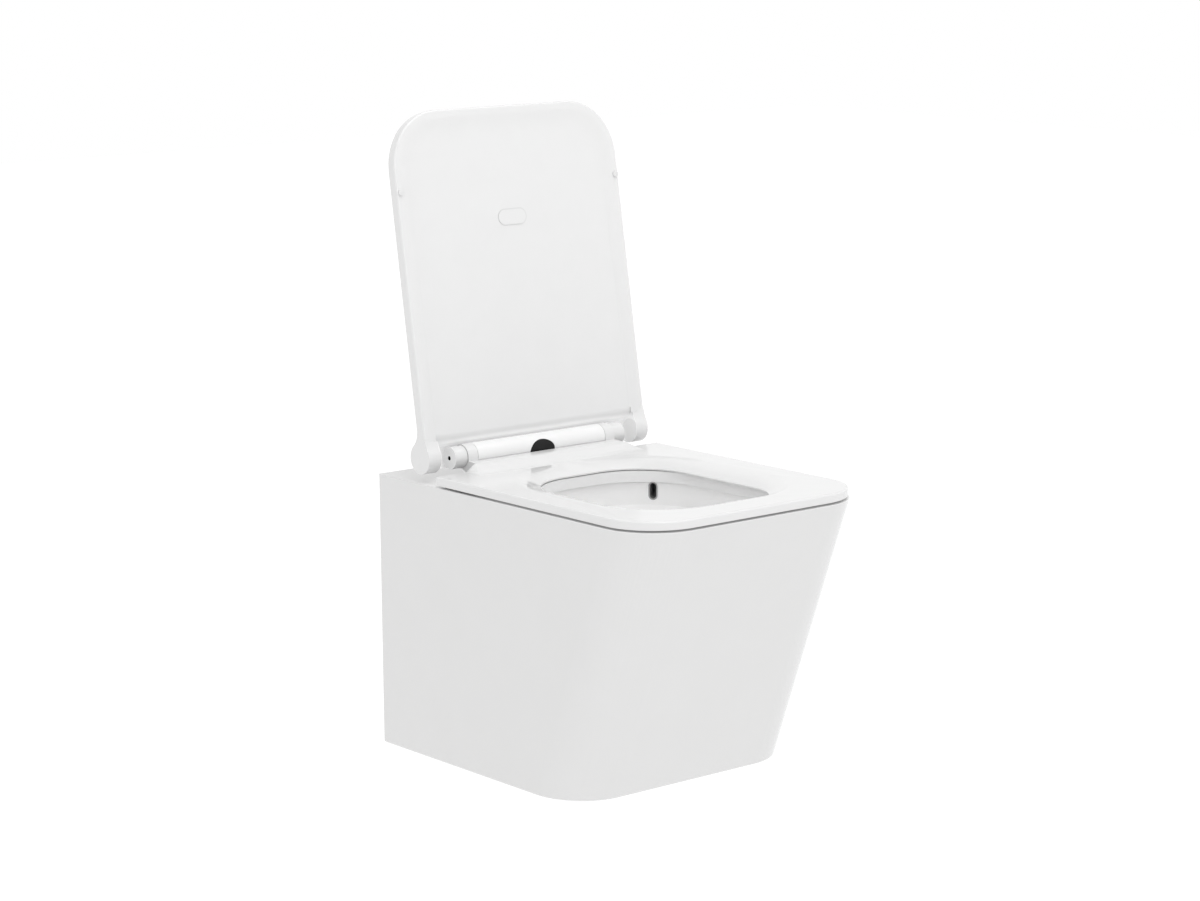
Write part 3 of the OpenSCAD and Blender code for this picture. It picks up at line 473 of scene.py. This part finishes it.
# %% [markdown]
# ## Handing the copy over
# The finished bmesh becomes an object. It takes the node's body, so that it moves with it, and the finish
# of the node's slot unless another finish is given, and it stands for the node, which is hidden. Rounding
# can push a point outside the solid by a hair, and a size is a promise, so each point is held inside the box
# of the solids. Smooth shading with weighted normals keeps the flats flat and lets only the narrow bevels
# curve.

# %% Make the piece


def finish_piece(name, bm, nodes, material=None):
    """Makes the bmesh an object that stands for the nodes and moves with their body."""
    corners = [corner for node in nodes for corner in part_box(node)]
    low = [min(corner[axis] for corner in corners) for axis in range(3)]
    high = [max(corner[axis] for corner in corners) for axis in range(3)]
    for vert in bm.verts:
        vert.co = [min(max(vert.co[axis], low[axis]), high[axis]) for axis in range(3)]
    for face in bm.faces:
        face.smooth = True
    for edge in bm.edges:
        edge.smooth = len(edge.link_faces) == 2 and edge.calc_face_angle(0.0) < math.radians(SHARP_DEGREES)
    mesh = bpy.data.meshes.new(name)
    bm.to_mesh(mesh)
    bm.free()
    piece = bpy.data.objects.new(name, mesh)
    bpy.context.scene.collection.objects.link(piece)
    mesh.materials.append(material or FINISH[SLOT_OF[nodes[0]]])
    modifier = piece.modifiers.new("even_shading", "WEIGHTED_NORMAL")
    modifier.keep_sharp = True
    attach(piece, BODY_OF[nodes[0]])
    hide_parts(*nodes)
    print(f"{name}: {len(mesh.polygons)} faces, stands for {', '.join(nodes)}")


def soften(node, width, segments=3):
    """A copy of the node with every sharp edge rounded."""
    bm = merged(node)
    bevel(bm, turning(bm, SHARP_DEGREES), width, segments, clamp=True)
    finish_piece(node + "_soft", bm, [node])


# %% [markdown]
# ## One casting from several solids
# The real shell is one casting, and so is the bowl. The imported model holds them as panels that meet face
# to face, because physics wants simple blocks. Glaze that is drawn over the joints would show them, so the
# panels are united first. The exact Boolean is slow, but it is the one that copes with faces that touch.

# %% Unite nodes that meet face to face


def united(nodes, seams):
    """One closed bmesh of the nodes, without the walls where they meet."""
    parts = []
    for node in nodes:
        mesh = bpy.data.meshes.new(node + "_part")
        bm = merged(node)
        bm.to_mesh(mesh)
        bm.free()
        part = bpy.data.objects.new(node + "_part", mesh)
        bpy.context.scene.collection.objects.link(part)
        parts.append(part)
    for other in parts[1:]:
        union = parts[0].modifiers.new("union", "BOOLEAN")
        union.operation = "UNION"
        union.solver = "EXACT"
        union.object = other
    bm = bmesh.new()
    bm.from_object(parts[0], bpy.context.evaluated_depsgraph_get())
    for part in parts:
        bpy.data.meshes.remove(part.data)
    bmesh.ops.remove_doubles(bm, verts=bm.verts, dist=2e-5)
    bmesh.ops.dissolve_degenerate(bm, edges=bm.edges, dist=1e-5)
    flatten(bm, seams)
    return bm


print("united() leaves one mesh of several nodes")

# %% [markdown]
# ## The shell
# The deck's edges are tight, half a millimetre, because the seat lies close above them and a wider round
# would open the gap that the photograph shows as a thin line. The foot and the upright corners at the
# wall were sponged by hand before firing and are round by 4 mm. The seams go through the bowl's mouth and
# through the holes for the seat's screws and the wall bolts.

# %% Round the shell
PANELS = ["pan_deck", "pan_back", "pan_front", "pan_side_left", "pan_side_right"]
TOP, FOOT, SIDE, WALL = 79.5 * MM, -267.5 * MM, 179.5 * MM, -1 * MM
SCREW_X, BOLT_X = 77.5 * MM, 90 * MM
shell = united(PANELS, [-BOLT_X, -SCREW_X, 0.0, SCREW_X, BOLT_X])
bevel(shell, turning(shell, SHARP_DEGREES, lambda p: p.z > TOP), 0.5 * MM)
hand_sponged = turning(shell, SHARP_DEGREES, lambda p: p.z < FOOT or (abs(p.x) > SIDE and p.y > WALL))
bevel(shell, hand_sponged, 4.0 * MM, 4)
finish_piece("shell_soft", shell, PANELS, GLAZE_SHELL_PAINTED_LIGHT)

# %% [markdown]
# ## The bowl and its water ways
# The channel under the rim and the bowl are one casting too. Their edges are smooth curves already and
# need no bevel. The trap and the flush duct are seen from below and at the back, with plain round edges.

# %% Dress the bowl, trap and duct
BOWL = ["swirl_channel", "bowl"]
# The bowl wears the glaze painted lighter, as painted light.
finish_piece("bowl_soft", united(BOWL, [0.0]), BOWL, GLAZE_BOWL_PAINTED_LIGHT)
for node in ("trapway", "flush_duct"):
    soften(node, 1.5 * MM)

# %% [markdown]
# ## Lid and seat
# Both are pressed, with an outer edge that is round by 2.5 mm. The seat's lower edge is almost sharp,
# since the mould parts there. Round the hinge bar, where the lid's knuckles and the seat's lugs run close
# to each other, the CAD's own curves stay as they are, so edges are chosen by how far they are from the
# line that both pieces turn about, and on the lid also by how far they are from its middle.

# %% Round lid and seat
PRESSED_EDGE = 2.5 * MM
HINGE_ZONE, LID_END, LID_MIDDLE = 45 * MM, 380 * MM, 40 * MM
SEAT_HALF_HEIGHT = 86 * MM
PRESSED_DEGREES = 50.0


def from_axis(p):
    """How far the point is from the line that lid and seat turn about."""
    return math.hypot(p.y - AXIS.y, p.z - AXIS.z)


def lid_outline(p):
    return (from_axis(p) > HINGE_ZONE and abs(p.x) > LID_MIDDLE) or from_axis(p) > LID_END


def seat_top(p):
    return from_axis(p) > HINGE_ZONE and p.z > SEAT_HALF_HEIGHT


def seat_foot(p):
    return from_axis(p) > HINGE_ZONE and p.z < SEAT_HALF_HEIGHT


lid = merged("lid", [0.0])
bevel(lid, turning(lid, PRESSED_DEGREES, lid_outline), PRESSED_EDGE, 4)
finish_piece("lid_soft", lid, ["lid"], LID_WHITE_PAINTED_LIGHT)
seat = merged("seat", [0.0])
bevel(seat, turning(seat, PRESSED_DEGREES, seat_top), PRESSED_EDGE, 4)
bevel(seat, turning(seat, PRESSED_DEGREES, seat_foot), 0.3 * MM)
finish_piece("seat_soft", seat, ["seat"])

# %% [markdown]
# ## The hinge
# The small mouldings have tighter edges, about half a millimetre, and the smallest, with the nuts and
# screws, a quarter. The button is a little rounder, as a thumb has to press it.

# %% Round the hinge's pieces
for node in ("bar_cover", "bar_chassis", "base_plate_left", "base_plate_right"):
    soften(node, 0.5 * MM)
soften("release_button", 0.8 * MM)
for node in ("knuckle_bush", "lug_bush", "slider_left", "slider_right", "posts", "seat_screws", "wall_nuts"):
    soften(node, 0.25 * MM, segments=2)

# %% [markdown]
# ## The studio floor
# The photograph is a cut-out on white. A pale floor a little below the pan sends light back up, as a
# sweep of white paper would, and glows just enough to match the background, so that no horizon shows.

# %% Floor
FLOOR_Z = CAD_BOX[0][2] - 70 * MM
floor_bm = bmesh.new()
bmesh.ops.create_grid(floor_bm, x_segments=8, y_segments=8, size=8.0)
bmesh.ops.translate(floor_bm, verts=floor_bm.verts, vec=(0.0, 0.0, FLOOR_Z))
floor_mesh = bpy.data.meshes.new("floor")
floor_bm.to_mesh(floor_mesh)
floor_bm.free()
floor = bpy.data.objects.new("floor", floor_mesh)
bpy.context.scene.collection.objects.link(floor)
paint = Sheet(bpy.data.materials.new("floor_paint"))
floor_mesh.materials.append(paint.finish(
    Base_Color=paint.mix(paint.noise(0.6, 2.0), grey(0.1), grey(0.11)), Roughness=0.9,
    Emission_Color=grey(1.0), Emission_Strength=0.96))
print("floor at", round(FLOOR_Z, 3))

# %% [markdown]
# ## The world
# A white world lights the pan evenly from all round, as a tent of cloth does. A photographer would hang
# a dark sheet, a flag, high up behind the pan, so that the top of the raised lid doesn't wash out. Ours
# dims the world by half where the direction points both back and up, and fades out at its edges.

# %% World with a flag
FLAG_LIGHT = 0.55
world = bpy.data.worlds.new("studio")
bpy.context.scene.world = world
sky = Sheet(world, "Background", "Generated")
flag = sky.rising(sky.along("Y"), -0.1, 0.5) * sky.rising(sky.along("Z"), 0.25, 0.6)
sky.finish(Color=grey(1.0), Strength=1.0 - (1.0 - FLAG_LIGHT) * flag)
print("the world's nodes:", len(world.node_tree.nodes))

# %% [markdown]
# ## The lamps
# Four large soft lamps lift what the world leaves flat. The top lamp brightens the level surfaces of seat
# and rim, the back lamp the lid's upper edge, the front lamp the lid's face and the sloping front, and
# the left lamp the long side. Their powers were found by rendering with each lamp alone, and choosing
# the sum that comes nearest to the photograph's brightness at some thirty places.

# %% Lamps
MIDDLE = Vector((0.0, -0.25, 0.1))
LAMPS = {
    "top_lamp": ((0.3, -0.9, 2.4), 18.0),
    "back_lamp": ((0.0, 0.3, 2.4), 7.0),
    "front_lamp": ((-0.6, -3.2, 1.3), 8.4),
    "left_lamp": ((-3.2, -0.4, 1.2), 5.0),
}
for name, (place, watts) in LAMPS.items():
    light = bpy.data.lights.new(name, "AREA")
    light.shape = "RECTANGLE"
    light.size, light.size_y = 2.4, 1.6
    light.energy = watts
    lamp = bpy.data.objects.new(name, light)
    lamp.location = place
    lamp.rotation_euler = (MIDDLE - Vector(place)).to_track_quat("-Z", "Y").to_euler()
    bpy.context.scene.collection.objects.link(lamp)
print(len(LAMPS), "lamps,", sum(watts for _, watts in LAMPS.values()), "watts together")

# %% [markdown]
# ## The camera
# A camera was fitted to the photograph's edges, as a surveyor would: it stands 4.1 m away, low and to
# the left, with a long lens. Its axes are built from its bearing, its tilt and a trace of roll. The view
# transform is Standard, because the photograph's white is a plain white with no film curve.

# %% Camera from the fit
PLACE = Vector((-2.4651, -3.2221, 0.8386))
BEARING = math.radians(39.39)
TILT = math.radians(10.51)
ROLL = -0.007
LENS = 96.0

ahead = Vector((math.sin(BEARING) * math.cos(TILT), math.cos(BEARING) * math.cos(TILT), -math.sin(TILT)))
right = ahead.cross(Vector((0, 0, 1))).normalized()
up = right.cross(ahead)
right, up = (math.cos(ROLL) * right + math.sin(ROLL) * up, math.cos(ROLL) * up - math.sin(ROLL) * right)
eye = bpy.data.cameras.new("photo_camera")
eye.lens = LENS
eye.sensor_width = 36.0
camera = bpy.data.objects.new("photo_camera", eye)
camera.matrix_world = Matrix.Translation(PLACE) @ Matrix((right, up, -ahead)).transposed().to_4x4()
scene = bpy.context.scene
scene.collection.objects.link(camera)
scene.camera = camera
scene.view_settings.view_transform = "Standard"
print("camera at", [round(v, 2) for v in PLACE])
